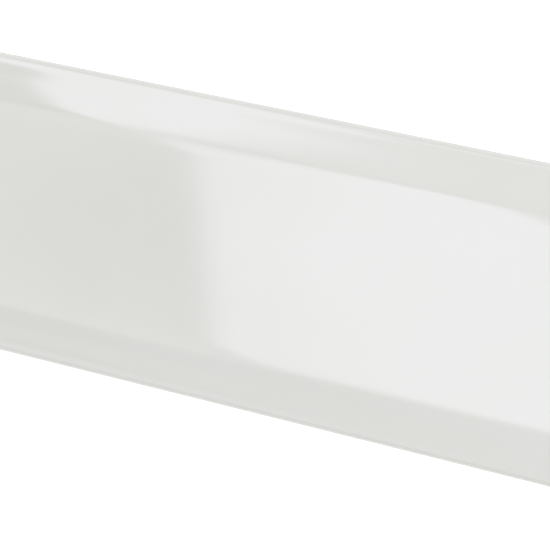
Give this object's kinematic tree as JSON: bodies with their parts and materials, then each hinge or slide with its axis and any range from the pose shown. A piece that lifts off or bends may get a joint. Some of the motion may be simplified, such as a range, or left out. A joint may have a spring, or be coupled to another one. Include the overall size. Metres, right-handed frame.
{
  "type": "subway wall tile",
  "caption": "Long glazed ceramic wall tile with a flat field, a sloping margin round it, a rolled rim and a ribbed back.",
  "frame": {"origin": "centre of the underside, on the plane that the tile rests on", "axes": "+X along the tile's length, +Y across it, +Z out of the glazed face"},
  "size_m": [0.3, 0.1, 0.0085],
  "materials": {
    "white_glaze": "gloss"
  },
  "bodies": {
    "root": {"wall_tile": "white_glaze"}
  },
  "joints": []
}
